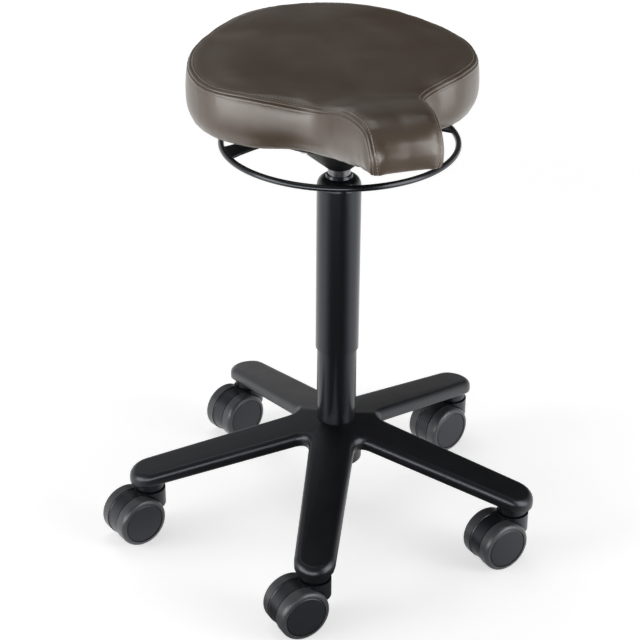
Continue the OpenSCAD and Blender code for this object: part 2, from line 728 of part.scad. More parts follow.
foam_row_steps = [2, 3];  // rows of the bands that the foam's sides follow
foam_shares = [0.3, 0.65]; // heights of those rows between the foam's floor and its upper edge
foam_foot = 1;       // height of the foam over the cover's edge in front of the board
foam_up = 3;         // height of the foam's front over the cover's edge
module seat_foam() {
    front = board_share * horn_reach;
    function raised(h) = [0, 0, foam_up * ramp(h, side_n - span_steps, side_n)];
    function on_top(h, u) = h <= side_n ? top_point(h, u, lining) + raised(h)
        : top_point(side_n, top_steps[h - side_n], lining) + raised(side_n);
    low = [for (h = [0:half_n]) h <= side_n
        ? let (p = foot[h] - side_out[h] * lining + back(h, lining))
            [p[0], p[1], foot[max(0, h - 1)][1] > -front ? board_height(p[1]) + board_t + play
                : foot[h][2] + foam_foot]
        : on_top(h, 0) - [0, 0, foam_up - foam_foot]];
    top_edge = [for (h = [0:half_n]) on_top(h, 0)];
    sides = [for (i = [0:len(foam_row_steps) - 1]) [for (h = [0:half_n])
        let (p = h <= side_n ? band_point(h, band_steps[foam_row_steps[i]], lining) + back(h, lining) : top_edge[h])
            [p[0], p[1], mix(low[h][2], top_edge[h][2], foam_shares[i])]]];
    top = concat(
        joined([for (i = [1:top_rows - 2]) concat([for (h = [0:side_n - 1]) on_top(h, top_steps[i])],
            [for (h = [side_n - 1:-1:1]) seam_flip(on_top(h, top_steps[i]))])]),
        [for (h = [0:side_n - 1]) on_top(h, 1)]);
    rings = concat([ring_of(low)], [for (s = sides) ring_of(s)], [ring_of(top_edge)]);
    start = (len(rings) - 1) * net_n;
    color(hide)
        polyhedron(concat(joined(rings), top), concat(strips(0, net_n, true),
            flipped(joined([for (i = [0:len(rings) - 2]) joined([for (j = [0:net_n - 1]) cell(i, j, net_n)])])),
            top_faces(start, start + net_n)), convexity = 6);
}

/* Casters */
axle_z = wheel_d / 2;
axle_d = 8;
hub_r = 11;
housing_w = wheel_gap - 2 * play;
hood_gap = 1.2;      // how far the hood's top lies below the tread's
hood_r = wheel_d / 2 - hood_gap;
hood_wall = 3.5;
hood_turn = -38;     // lower end of the hood behind the wheels, in degrees from the axle's level
web_t = 4;           // thickness of the web inside the hood
collar_floor = 4;    // thickness of the collar under the stem
collar_rim = 2.5;    // wall of the collar
collar_dish = 4;     // depth of the dish in the collar's top
sleeve_rim = 3.5;    // wall round the stem in that dish
well_gap = 0.9;      // gap between the treads and the collar's wheel wells
tread_t = 6;
tread_r = 5;         // rounding of the tread's outer shoulder
tread_in = 0.4;      // how far the tread stands back from the wheel's inner face
tread_bevel = 1.5;   // bevel of the tread's inner edge
groove_w = 0.8;      // width of the groove between tread and disc
groove_h = 2;        // depth of that groove
disc_edge = 1.4;     // rounding of the disc's outer edge
disc_dish = 5;       // depth of the wheel's hollow inner side
wheel_rim = 3;       // wall of the wheel's rim
wheel_out = wheel_gap / 2 + wheel_w;
stem_depth = 20;     // how deep the stem stands in its caster
stem_bevel = 1;
stem_foot = collar_top - stem_depth;
axle_inset = 5;      // how far the axle ends inside the wheels' outer faces
axle_l = 2 * (wheel_out - axle_inset);
module at_caster(i) {
    rotate(base_turn + (i - 1) * arm_step)
        translate([arm_reach, 0, 0])
            rotate(caster_turns[i - 1] - base_turn - (i - 1) * arm_step)
                children();
}

module caster_stem(i) {
    head = socket_top - swivel_gap / 2;
    color(steel)
        at_caster(i)
            rotate_extrude()
                polygon([[0, stem_foot], [stem_d / 2 - stem_bevel, stem_foot], [stem_d / 2, stem_foot + stem_bevel],
                    [stem_d / 2, head - stem_bevel], [stem_d / 2 - stem_bevel, head], [0, head]]);
}

// Cuts away what lies below a line through the axle that falls towards the trailing side
module under_hood(drop) {
    rotate(hood_turn)
        translate([-2 * hood_r, -2 * hood_r - drop])
            square([4 * hood_r, 2 * hood_r]);
}

module caster_housing(i) {
    color(graphite)
        at_caster(i)
            difference() {
                union() {
                    translate([trail, housing_w / 2, axle_z])
                        rotate([90, 0, 0]) {
                            linear_extrude(housing_w)
                                difference() {
                                    circle(r = hood_r);
                                    circle(r = hood_r - hood_wall);
                                    under_hood(0);
                                    rotate(hood_turn)
                                        translate([-2 * hood_r, -hood_r])
                                            square([hood_r, 2 * hood_r]);
                                }
                            translate([0, 0, (housing_w - web_t) / 2])
                                linear_extrude(web_t)
                                    difference() {
                                        circle(r = hood_r - hood_wall / 2);
                                        under_hood(hub_r);
                                    }
                            cylinder(r = hub_r, h = housing_w);
                        }
                    translate([0, 0, stem_foot - collar_floor])
                        cylinder(d = collar_d, h = collar_top - stem_foot + collar_floor);
                }
                for (side = [-1, 1])
                    translate([trail, side * (housing_w / 2 + wheel_w), axle_z])
                        rotate([90, 0, 0])
                            translate([0, 0, -wheel_w])
                                cylinder(r = wheel_d / 2 + well_gap, h = 2 * wheel_w);
                translate([0, 0, stem_foot - play])
                    cylinder(d = stem_d + 2 * running, h = collar_top);
                translate([0, 0, collar_top - collar_dish])
                    difference() {
                        cylinder(d = collar_d - 2 * collar_rim, h = collar_dish + cut);
                        translate([0, 0, -cut])
                            cylinder(d = stem_d + 2 * sleeve_rim, h = collar_dish);
                    }
                translate([trail, housing_w, axle_z])
                    rotate([90, 0, 0])
                        cylinder(d = axle_d + 2 * fit, h = 2 * housing_w);
            }
}

module caster_axle(i) {
    color(steel)
        at_caster(i)
            translate([trail, axle_l / 2, axle_z])
                rotate([90, 0, 0])
                    cylinder(d = axle_d, h = axle_l);
}

// A wheel's core, turned about its axle: a disc with a rim that carries the tread
module wheel_core() {
    inner = wheel_gap / 2;
    rim = wheel_d / 2 - tread_t;
    bore = axle_d / 2 + running;
    face = rim - groove_w;
    rotate_extrude()
        polygon([[bore, inner], [hub_r, inner], [hub_r, inner + disc_dish], [rim - wheel_rim, inner + disc_dish],
            [rim - wheel_rim, inner], [rim, inner], [rim, wheel_out - groove_h], [face, wheel_out - groove_h],
            [face, wheel_out - disc_edge / 2], [face - disc_edge, wheel_out], [0, wheel_out],
            [0, axle_l / 2 + play], [bore, axle_l / 2 + play]]);
}

// A wheel's soft tread with a rounded outer shoulder
module wheel_tread() {
    inner = wheel_gap / 2 + tread_in;
    r = wheel_d / 2;
    rim = r - tread_t + fit;
    rotate_extrude()
        polygon(concat([[rim, inner], [r - tread_bevel, inner], [r, inner + tread_bevel]],
            [for (a = [0:15:90]) [r - tread_r + tread_r * cos(a), wheel_out - tread_r + tread_r * sin(a)]],
            [[rim, wheel_out]]));
}

module at_wheel(i, side) {
    at_caster(i)
        translate([trail, 0, axle_z])
            rotate([side > 0 ? -90 : 90, 0, 0])
                children();
}

module caster_wheel(i, side) {
    color(graphite)
        at_wheel(i, side)
            wheel_core();
}

module caster_tread(i, side) {
    color(tread_grey)
        at_wheel(i, side)
            wheel_tread();
}

star_base();
stand_tube();
column_sleeve();
sleeve_cap();
guide_bush();
lower_race();
thrust_bearing();
upper_race();
rubber_buffer();
piston_rod();
rod_clip();
gas_cylinder();
release_pin();
mechanism_housing();
mounting_plate();
mounting_bolts();
tee_nuts();
lever_ring();
lever_strip();
seat_board();
seat_foam();
top_cover();
left_band();
right_band();
for (i = CASTERS) {
    caster_stem(i);
    caster_housing(i);
    caster_axle(i);
    caster_wheel(i, -1);
    caster_wheel(i, 1);
    caster_tread(i, -1);
    caster_tread(i, 1);
}
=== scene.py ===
import json
import math

import bmesh
import bpy
import numpy as np
from mathutils import Matrix, Vector
from mathutils.bvhtree import BVHTree


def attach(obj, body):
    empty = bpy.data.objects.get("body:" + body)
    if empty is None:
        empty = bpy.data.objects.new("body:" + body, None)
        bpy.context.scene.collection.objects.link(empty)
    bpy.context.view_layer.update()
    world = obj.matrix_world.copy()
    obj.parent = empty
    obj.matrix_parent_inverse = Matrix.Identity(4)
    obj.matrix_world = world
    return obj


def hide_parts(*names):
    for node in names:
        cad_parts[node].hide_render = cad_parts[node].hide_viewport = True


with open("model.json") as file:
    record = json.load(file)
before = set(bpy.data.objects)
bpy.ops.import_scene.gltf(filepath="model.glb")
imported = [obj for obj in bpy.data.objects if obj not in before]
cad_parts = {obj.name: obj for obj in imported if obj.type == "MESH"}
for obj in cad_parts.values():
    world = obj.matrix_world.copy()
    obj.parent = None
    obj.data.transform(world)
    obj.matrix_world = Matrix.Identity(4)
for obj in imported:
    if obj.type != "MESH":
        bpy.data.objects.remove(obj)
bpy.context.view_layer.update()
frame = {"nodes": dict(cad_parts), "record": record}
nodes = frame["nodes"]
mm = 0.001
white = (1, 1, 1, 1)
print("frame loaded,", len(nodes), "nodes")


# materials

def linear(hexColour):
    values = [int(hexColour[i:i + 2], 16) / 255 for i in (1, 3, 5)]
    return [v / 12.92 if v <= 0.04045 else ((v + 0.055) / 1.055) ** 2.4 for v in values] + [1]


def addNode(tree, kind, settings=None, inputs=None):
    node = tree.nodes.new(kind)
    for key, value in (settings or {}).items():
        setattr(node, key, value)
    for socket, value in (inputs or {}).items():
        if isinstance(value, bpy.types.NodeSocket):
            tree.links.new(value, node.inputs[socket])
        else:
            node.inputs[socket].default_value = value
    return node


def newMaterial(name, colour, roughness, shader=None):
    material = bpy.data.materials.new(name)
    material.use_nodes = True
    tree = material.node_tree
    tree.nodes.clear()
    looks = {"Base Color": linear(colour), "Roughness": roughness, **(shader or {})}
    bsdf = addNode(tree, "ShaderNodeBsdfPrincipled", {}, looks)
    addNode(tree, "ShaderNodeOutputMaterial", {}, {"Surface": bsdf.outputs["BSDF"]})
    material["bsdf"] = bsdf.name
    material.diffuse_color = linear(colour)
    return material


def shaderOf(material):
    return material.node_tree, material.node_tree.nodes[material["bsdf"]]


def grain(material, sizeMm, depthMm, cells=False):
    # a fine relief with features of one size, on Object coordinates in metres
    tree, bsdf = shaderOf(material)
    place = addNode(tree, "ShaderNodeTexCoord").outputs["Object"]
    if cells:
        cell = addNode(tree, "ShaderNodeTexVoronoi", {"feature": "SMOOTH_F1"},
                       {"Vector": place, "Scale": 1 / (sizeMm * mm), "Smoothness": 0.6})
        pattern = cell.outputs["Distance"]
    else:
        noise = addNode(tree, "ShaderNodeTexNoise", {},
                        {"Vector": place, "Scale": 1 / (sizeMm * mm), "Detail": 2.0})
        pattern = noise.outputs["Fac"]
    bump = addNode(tree, "ShaderNodeBump", {}, {"Height": pattern, "Distance": depthMm * mm, "Strength": 1.0})
    tree.links.new(bump.outputs["Normal"], bsdf.inputs["Normal"])


def mottle(material, darkColour, lightColour, sizeMm, roughFrom, roughTo):
    # slow changes of colour and gloss over the surface
    tree, bsdf = shaderOf(material)
    place = addNode(tree, "ShaderNodeTexCoord").outputs["Object"]
    noise = addNode(tree, "ShaderNodeTexNoise", {},
                    {"Vector": place, "Scale": 1 / (sizeMm * mm), "Detail": 3.0})
    colour = addNode(tree, "ShaderNodeMix", {"data_type": "RGBA"}, {"Factor": noise.outputs["Fac"]})
    for socket, value in (("A", linear(darkColour)), ("B", linear(lightColour))):
        [s for s in colour.inputs if s.name == socket and s.type == "RGBA"][0].default_value = value
    tree.links.new([s for s in colour.outputs if s.type == "RGBA"][0], bsdf.inputs["Base Color"])
    rough = addNode(tree, "ShaderNodeMapRange", {},
                    {"Value": noise.outputs["Fac"], "From Min": 0.3, "From Max": 0.7,
                     "To Min": roughFrom, "To Max": roughTo})
    tree.links.new(rough.outputs["Result"], bsdf.inputs["Roughness"])


# coated upholstery fabric with a pressed leather grain: satin, with soft broad highlights
leather = newMaterial("fauxLeatherPressedGrain", "#4d433b", 0.31, {"Specular IOR Level": 0.62})
mottle(leather, "#4c4035", "#54483c", 45, 0.28, 0.35)
grain(leather, 1.1, 0.05, cells=True)
# bonded polyester sewing thread: a dull sheen, paler than the leather
thread = newMaterial("polyesterThreadTwisted", "#9d9389", 0.6)
grain(thread, 0.4, 0.05)
# black nonwoven polypropylene, drawn over the seat board: matt and fibrous
dustCloth = newMaterial("nonwovenPolypropyleneSpunbond", "#1b1b1c", 0.9)
grain(dustCloth, 0.9, 0.08)
paintedCoolReflection = (0.88, 0.91, 1.0, 1.0)  # painted cool tint on the black parts' reflections, standing in for cool light around them
# die-cast aluminium, powder coated: black with an even fine texture
baseCoat = newMaterial("castAluminiumPowderCoated", "#0c0d10", 0.36, {"Specular Tint": paintedCoolReflection})
mottle(baseCoat, "#0b0c0f", "#0d0e11", 30, 0.33, 0.39)
grain(baseCoat, 0.7, 0.012)
# mild steel with satin black stove enamel
blackSteel = newMaterial("mildSteelSatinEnamel", "#0d0e11", 0.24, {"Specular Tint": paintedCoolReflection})
grain(blackSteel, 1.6, 0.01)
# moulded plastic shell of the mechanism: matt black
shell = newMaterial("polypropyleneMouldedMatt", "#0a0b0d", 0.5, {"Specular IOR Level": 0.12})
grain(shell, 0.7, 0.02)
# glass-filled nylon, moulded: dark, slightly uneven gloss
moulding = newMaterial("glassFilledNylonMoulded", "#16181b", 0.36, {"Specular Tint": paintedCoolReflection})
mottle(moulding, "#141619", "#191b1e", 12, 0.33, 0.4)
grain(moulding, 0.5, 0.01)
# glossy black acetal of the column's cap, with small bright highlights
gloss = newMaterial("acetalMouldedGloss", "#0f1013", 0.22, {"Specular Tint": paintedCoolReflection})
grain(gloss, 0.9, 0.006)
# wheel discs of nylon, moulded
wheelPlastic = newMaterial("nylonMouldedSatin", "#222326", 0.4,
                           {"Specular Tint": paintedCoolReflection, "Specular IOR Level": 0.4})
grain(wheelPlastic, 0.6, 0.01)
# polyurethane treads, cast: soft grey, matt
treadGrey = newMaterial("polyurethaneCastTread", "#404144", 0.34)
grain(treadGrey, 0.8, 0.02)
# black rubber
rubber = newMaterial("nitrileRubberMoulded", "#161616", 0.7)
grain(rubber, 0.8, 0.02)
# ground and plated steel of pins, bolts and races
brightSteel = newMaterial("steelGroundZincPlated", "#c4c6c8", 0.3, {"Metallic": 1.0})
grain(brightSteel, 0.3, 0.004)
# cylinder tube: drawn steel with satin grey lacquer over metal
cylinderGrey = newMaterial("drawnSteelGreyLacquer", "#757578", 0.16, {"Metallic": 0.9})
grain(cylinderGrey, 0.5, 0.004)
# cut polyurethane foam
foamYellow = newMaterial("polyurethaneFoamCut", "#d8cfae", 0.95)
grain(foamYellow, 1.5, 0.3)

finishes = {
    "star_base": baseCoat, "stand_tube": blackSteel, "column_sleeve": blackSteel, "sleeve_cap": gloss,
    "guide_bush": moulding, "lower_race": brightSteel, "thrust_bearing": brightSteel,
    "upper_race": brightSteel, "rubber_buffer": rubber, "piston_rod": brightSteel,
    "rod_clip": brightSteel, "gas_cylinder": cylinderGrey, "release_pin": brightSteel,
    "mechanism_housing": shell, "mounting_plate": blackSteel, "mounting_bolts": brightSteel,
    "tee_nuts": brightSteel, "lever_ring": blackSteel, "lever_strip": blackSteel,
    "seat_board": dustCloth, "seat_foam": foamYellow, "top_cover": leather,
    "left_band": leather, "right_band": leather}
for i in range(1, 6):
    finishes.update({f"caster_{i}_stem": brightSteel, f"caster_{i}_axle": brightSteel,
                     f"caster_{i}_housing": moulding})
    for side in ("inner", "outer"):
        finishes.update({f"caster_{i}_wheel_{side}": wheelPlastic, f"caster_{i}_tread_{side}": treadGrey})
for name, material in finishes.items():
    nodes[name].data.materials.clear()
    nodes[name].data.materials.append(material)
print("materials set on", len(finishes), "nodes")


# helpers for meshes

def inScene(name, data):
    piece = bpy.data.objects.new(name, data)
    bpy.context.scene.collection.objects.link(piece)
    return piece


def newPiece(name, points, faces, material, smooth=True):
    mesh = bpy.data.meshes.new(name)
    mesh.from_pydata([tuple(p) for p in points], [], [tuple(f) for f in faces])
    mesh.materials.append(material)
    mesh.polygons.foreach_set("use_smooth", [smooth] * len(mesh.polygons))
    return inScene(name, mesh)


def ringFaces(count, corners):
    # the faces between the sections of a closed ring
    return [(corners * i + j, corners * ((i + 1) % count) + j,
             corners * ((i + 1) % count) + (j + 1) % corners, corners * i + (j + 1) % corners)
            for i in range(count) for j in range(corners)]


def faceOutward(piece):
    work = bmesh.new()
    work.from_mesh(piece.data)
    bmesh.ops.recalc_face_normals(work, faces=work.faces)
    work.to_mesh(piece.data)
    work.free()


def weldedMesh(names, distance):
    # the CAD nodes' meshes as one, with the points of neighbouring faces merged
    work = bmesh.new()
    for name in names:
        work.from_mesh(nodes[name].data)
    bmesh.ops.remove_doubles(work, verts=work.verts, dist=distance)
    return work


def applied(piece):
    # the piece's mesh with its modifiers in it
    bpy.context.view_layer.update()
    mesh = bpy.data.meshes.new_from_object(piece.evaluated_get(bpy.context.evaluated_depsgraph_get()))
    piece.modifiers.clear()
    old = piece.data
    piece.data = mesh
    mesh.name = piece.name
    bpy.data.meshes.remove(old)
    return piece


def pointsOf(piece):
    values = np.zeros(len(piece.data.vertices) * 3)
    piece.data.vertices.foreach_get("co", values)
    return values.reshape(-1, 3)


def normalsOf(piece):
    values = np.zeros(len(piece.data.vertices) * 3)
    piece.data.vertices.foreach_get("normal", values)
    return values.reshape(-1, 3)


def setPoints(piece, points):
    piece.data.vertices.foreach_set("co", np.asarray(points, float).ravel())
    piece.data.update()


def treeOf(piece):
    mesh = piece.data
    return BVHTree.FromPolygons([v.co[:] for v in mesh.vertices], [p.vertices[:] for p in mesh.polygons])


def neighbourMean(values, edges):
    # for each point, the mean over the points that an edge joins to it
    total, count = np.zeros_like(values), np.zeros(len(values))
    for a, b in ((0, 1), (1, 0)):
        np.add.at(total, edges[:, a], values[edges[:, b]])
        np.add.at(count, edges[:, a], 1)
    return total / count[:, None]


def joinedPoints(edges):
    # the place of each point on these edges, and the points that they join it to
    place, links = {}, {}
    for e in edges:
        for v, other in ((e.verts[0], e.verts[1]), (e.verts[1], e.verts[0])):
            place[v.index] = np.array(v.co)
            links.setdefault(v.index, []).append(other.index)
    return place, links


def nearestDistance(points, line):
    # distance of each point from a dense line of points
    best = np.full(len(points), np.inf)
    for start in range(0, len(points), 4000):
        part = points[start:start + 4000]
        best[start:start + 4000] = np.sqrt(((part[:, None, :] - line[None]) ** 2).sum(2)).min(1)
    return best


def awayFrom(points, names):
    # distance of each point from the CAD nodes' faces
    work = weldedMesh(names, 1e-6)
    tree = BVHTree.FromBMesh(work)
    work.free()
    return np.array([tree.find_nearest(Vector(p))[3] for p in points])


def fade(values, low, high):
    share = np.clip((values - low) / (high - low), 0, 1)
    return share * share * (3 - 2 * share)


def resampled(line, step):
    # evenly spaced points on a smooth curve through a line of points
    line = np.asarray(line, float)
    dense = []
    for i in range(len(line) - 1):
        a, b, c, d = line[max(i - 1, 0)], line[i], line[i + 1], line[min(i + 2, len(line) - 1)]
        for k in range(8):
            s = k / 8
            dense.append(((2 * b) + (c - a) * s + (2 * a - 5 * b + 4 * c - d) * s ** 2
                          + (3 * b - a - 3 * c + d) * s ** 3) / 2)
    dense = np.array(dense + [line[-1]])
    along = np.concatenate([[0], np.cumsum(np.linalg.norm(np.diff(dense, axis=0), axis=1))])
    places = np.linspace(0, along[-1], max(2, round(along[-1] / step)) + 1)
    return np.array([[np.interp(p, along, dense[:, k]) for k in range(3)] for p in places])


# the upholstered seat

seat = {
    "voxelMm": 4.5,         # cell of the remeshed pad
    "bandFullnessMm": 2.0,  # how far the padding rounds the bands between the seam and the hem
    "hornFullnessMm": 6.0,  # the same across the horn, from seam to seam
    "hornFromMm": 150.0,    # the horn has its full fullness this far in front of the column
    "hornToMm": 80.0,       # and none of it this far in front
    "hemFadeMm": 30.0,      # height over the hem in which the horn's fullness grows
    "heldMm": 5.0,          # width beside the seam that stays where it is
    "underInsideMm": 3.0,   # how far the pad's underside is raised into the board
    "shrinkMm": 1.0,        # how far the pad starts under its full shape
    "slack": 0.003,         # spare length of the cover, which gives it its soft folds
    "pressure": 4.0,
    "frames": 20,
    "capMm": 5.0,           # most that the cover may move while it swells
    "evenings": 22,         # rounds that even out the folds, so that only soft ones stay
    "sharpDegrees": 48,     # edges of the CAD's cover that are sharper than this can be its seam
    "cornerMm": 6.0,        # an edge between two corners that is shorter than this isn't the seam
    "seamStepMm": 1.5,
    "probeMm": 9.0,         # where the cover's slope beside the seam is taken
    "stitchMm": 2.6,        # length of one stitch
    "stitchPitchMm": 4.0,
    "threadMm": 0.7,
    "stitchRowMm": 5.9,     # distance of the stitches from the seam's groove
    "rimStepMm": 3.0,
    "turnInMm": 13.0,       # width of the cover's edge under the board
    "stapleMm": 10.0,
    "staplePitchMm": 24.0,
    "stapleWireMm": 0.9,
    "stapleInMm": 7.0,      # distance of the staples from the board's rim
}


def seamLine():
    # the outer edge of the top cover, from one foot of the horn round the rear to the other
    work = weldedMesh(["top_cover"], 2e-6)
    sharp = math.radians(seat["sharpDegrees"])
    place, links = joinedPoints([e for e in work.edges if e.calc_face_angle(0) > sharp])
    work.free()
    corners = {v for v in links if len(links[v]) > 2}
    for v in corners:
        # short edges that join two corners are left out
        links[v] = [n for n in links[v]
                    if n not in corners or np.linalg.norm(place[n] - place[v]) > seat["cornerMm"] * mm]
    runs = []
    for start in sorted(corners):
        for after in links[start]:
            run = [start, after]
            while run[-1] not in corners:
                run.append(next(n for n in links[run[-1]] if n != run[-2]))
            runs.append([place[v] for v in run])
    return np.array(max(runs, key=lambda run: np.linalg.norm(np.diff(run, axis=0), axis=1).sum()))


def boardRim():
    # the lower edge of the seat board, once round
    work = weldedMesh(["seat_board"], 2e-6)
    work.normal_update()
    place, links = joinedPoints([e for e in work.edges if len(e.link_faces) == 2
                                 and sum(f.normal.z < -0.7 for f in e.link_faces) == 1])
    work.free()
    run = [max(place, key=lambda v: place[v][1])]
    run.append(links[run[0]][0])
    while run[-1] != run[0]:
        run.append(next(n for n in links[run[-1]] if n != run[-2]))
    return resampled([place[v] for v in run], seat["rimStepMm"] * mm)[:-1]


def keepLargest(piece):
    # drops all but the largest connected part of the mesh
    work = bmesh.new()
    work.from_mesh(piece.data)
    islands, seen = [], set()
    for v in work.verts:
        if v.index in seen:
            continue
        island, queue = [], [v]
        seen.add(v.index)
        while queue:
            at = queue.pop()
            island.append(at)
            for e in at.link_edges:
                other = e.other_vert(at)
                if other.index not in seen:
                    seen.add(other.index)
                    queue.append(other)
        islands.append(island)
    islands.sort(key=len)
    bmesh.ops.delete(work, geom=[v for island in islands[:-1] for v in island], context="VERTS")
    work.to_mesh(piece.data)
    work.free()


seamRaw = seamLine()
seamDense = resampled(seamRaw, seat["seamStepMm"] * mm)
print("seam has", len(seamRaw), "stations and", len(seamDense), "points")

work = weldedMesh(["top_cover", "left_band", "right_band", "seat_foam", "seat_board"], 1e-6)
padMesh = bpy.data.meshes.new("seatCover")
work.to_mesh(padMesh)
work.free()
cover = inScene("seatCover", padMesh)
remesh = cover.modifiers.new("remesh", "REMESH")
remesh.mode = "VOXEL"
remesh.voxel_size = seat["voxelMm"] * mm
remesh.adaptivity = 0
applied(cover)
keepLargest(cover)
edges = np.array([e.vertices[:] for e in cover.data.edges])
for _ in range(2):  # softens the steps of the voxels
    points = pointsOf(cover)
    setPoints(cover, points * 0.5 + neighbourMean(points, edges) * 0.5)
print("pad remeshed,", len(cover.data.vertices), "points")

full = pointsOf(cover)
facing = normalsOf(cover)
seamAway = nearestDistance(full, seamDense)
under = facing[:, 2] < -0.6
hemAway = nearestDistance(full, full[under])
half = len(seamDense) // 2
oneSide, otherSide = (nearestDistance(full, line) for line in (seamDense[:half], seamDense[half:]))
onPanel = awayFrom(full, ["top_cover"]) < awayFrom(full, ["left_band", "right_band"])
ofHorn = 1 - fade(full[:, 1], -seat["hornFromMm"] * mm, -seat["hornToMm"] * mm)
ofHorn = ofHorn * fade(hemAway, 0, seat["hemFadeMm"] * mm)
hornSwell = seat["hornFullnessMm"] * ofHorn * np.sin(np.pi * oneSide / (oneSide + otherSide))
bandSwell = seat["bandFullnessMm"] * np.sin(np.pi * seamAway / (seamAway + hemAway))
swell = np.where(onPanel, hornSwell, bandSwell) * ~under
full += facing * (swell * mm)[:, None]
setPoints(cover, full)
facing = normalsOf(cover)
held = (seamAway < seat["heldMm"] * mm) | under
rim = boardRim()
# what of the pad's underside lies on the board, away from its rim, is lifted into the board
onBoard = under & (nearestDistance(full, rim) > 4 * mm) & (awayFrom(full, ["seat_board"]) < 2 * mm)
full[onBoard, 2] += seat["underInsideMm"] * mm
setPoints(cover, full)
inset = seat["shrinkMm"] * mm * fade(seamAway, 4 * mm, 22 * mm) * ~under
start = full - facing * inset[:, None]
setPoints(cover, start)
pins = cover.vertex_groups.new(name="pins")
pins.add([int(i) for i in np.nonzero(held)[0]], 1.0, "REPLACE")
cloth = cover.modifiers.new("cloth", "CLOTH")
leatherCloth = {"quality": 5, "mass": 0.3, "tension_stiffness": 25, "compression_stiffness": 25,
                "shear_stiffness": 12, "bending_stiffness": 5.0, "use_pressure": True,
                "uniform_pressure_force": seat["pressure"], "shrink_min": -seat["slack"],
                "vertex_group_mass": "pins"}
for key, value in leatherCloth.items():
    setattr(cloth.settings, key, value)
cloth.settings.effector_weights.gravity = 0
cloth.collision_settings.use_collision = False
for i in range(1, seat["frames"] + 1):
    bpy.context.scene.frame_set(i)
swollen = cover.evaluated_get(bpy.context.evaluated_depsgraph_get()).data
moved = np.zeros(len(swollen.vertices) * 3)
swollen.vertices.foreach_get("co", moved)
moved = moved.reshape(-1, 3) - start
size = np.linalg.norm(moved, axis=1)
cap = seat["capMm"] * mm
print("cover moved %.1f mm at most before its cap" % (size.max() / mm))
moved *= np.minimum(1, cap / np.maximum(size, 1e-9))[:, None]
for _ in range(seat["evenings"]):
    moved = moved * 0.4 + neighbourMean(moved, edges) * 0.6
cover.modifiers.clear()
cover.vertex_groups.clear()
setPoints(cover, start + moved)
bpy.context.scene.frame_set(1)
smooth = cover.modifiers.new("subdivision", "SUBSURF")
smooth.levels = smooth.render_levels = 1
applied(cover)
cover.data.materials.clear()
cover.data.materials.append(leather)
cover.data.polygons.foreach_set("use_smooth", [True] * len(cover.data.polygons))
print("cover has", len(cover.data.polygons), "faces")

# the seam: two rolled edges with a groove between them, laid on the cover
tree = treeOf(cover)
seamPoints = np.array([tree.find_nearest(Vector(p))[0] for p in seamDense])
along = np.gradient(seamPoints, axis=0)
along /= np.linalg.norm(along, axis=1)[:, None]


def sidesOf(i):
    # the way along the cover to each side of the seam, with the cover's normal there
    p, t = Vector(seamPoints[i]), Vector(along[i])
    across = t.cross(tree.find_nearest(p)[1]).normalized()
    found = []
    for sign in (1, -1):
        probe, normal = tree.find_nearest(p + across * sign * seat["probeMm"] * mm)[:2]
        found.append(((probe - p).normalized(), normal))
    return found


pairs = [sidesOf(i) for i in range(len(seamPoints))]
if pairs[0][0][1].y > pairs[0][1][1].y:  # at the horn's foot the front panel faces forward
    pairs[0].reverse()
for i in range(1, len(pairs)):
    if pairs[i][0][0].dot(pairs[i - 1][0][0]) < pairs[i][1][0].dot(pairs[i - 1][0][0]):
        pairs[i].reverse()
ways = np.array([[[*way, *normal] for way, normal in pair] for pair in pairs])
kernel = np.hanning(13)  # evens the ways out along the seam
kernel /= kernel.sum()
ends = np.concatenate([np.repeat(ways[:1], 6, 0), ways, np.repeat(ways[-1:], 6, 0)])
ways = np.array([(ends[i:i + 13] * kernel[:, None, None]).sum(0) for i in range(len(ways))])
panelWay, panelUp, bandWay, bandUp = ways[:, 0, :3], ways[:, 0, 3:], ways[:, 1, :3], ways[:, 1, 3:]
seamUp = panelUp + bandUp
for values in (panelWay, panelUp, bandWay, bandUp, seamUp):
    values /= np.linalg.norm(values, axis=1)[:, None]


def onCover(i, offset, rise):
    # a point beside the seam: minus is on the panel's side, plus on the band's
    way = panelWay[i] if offset < 0 else bandWay[i]
    hit, normal = tree.find_nearest(Vector(seamPoints[i] + way * abs(offset) * mm))[:2]
    share = min(1, abs(offset) / 5)
    up = (Vector(seamUp[i]) * (1 - share) + normal * share).normalized()
    return hit + up * rise * mm, normal


# across the seam in mm: place beside the groove and rise over the cover
profile = [(-8.0, -0.1), (-7.0, 0.1), (-6.2, 0.3), (-5.5, 0.2), (-4.9, -0.15), (-4.3, 0.1),
           (-3.5, 0.75), (-2.5, 1.2), (-1.6, 1.2), (-0.8, 0.7), (-0.3, 0.0), (0.0, -0.4),
           (0.3, 0.0), (0.9, 0.55), (1.8, 0.8), (2.8, 0.5), (3.8, 0.1), (4.8, -0.1)]
shown = len(profile) - 1  # faces across; the last two points close the strip inside the pad
profile += [(4.8, -1.0), (-8.0, -1.0)]
wide, last = len(profile), len(seamPoints) - 1
points = [onCover(i, u, h)[0] for i in range(len(seamPoints)) for u, h in profile]
faces = [(i * wide + j, i * wide + (j + 1) % wide, (i + 1) * wide + (j + 1) % wide, (i + 1) * wide + j)
         for i in range(last) for j in range(wide)]
faces += [tuple(reversed(range(wide))), tuple(last * wide + j for j in range(wide))]
welt = newPiece("sideSeam", points, faces, leather)
work = bmesh.new()
work.from_mesh(welt.data)
work.normal_update()
tops = [f for f in work.faces if f.index < last * wide and f.index % wide < shown]
if sum(f.normal.dot(Vector(seamUp[f.index // wide])) for f in tops) < 0:
    bmesh.ops.reverse_faces(work, faces=work.faces)
for face in set(work.faces) - set(tops):
    face.smooth = False
work.to_mesh(welt.data)
work.free()
stitchPlaces, stitchNormals = zip(*[onCover(i, -seat["stitchRowMm"], 0.3) for i in range(len(seamPoints))])
print("seam laid,", len(welt.data.polygons), "faces")


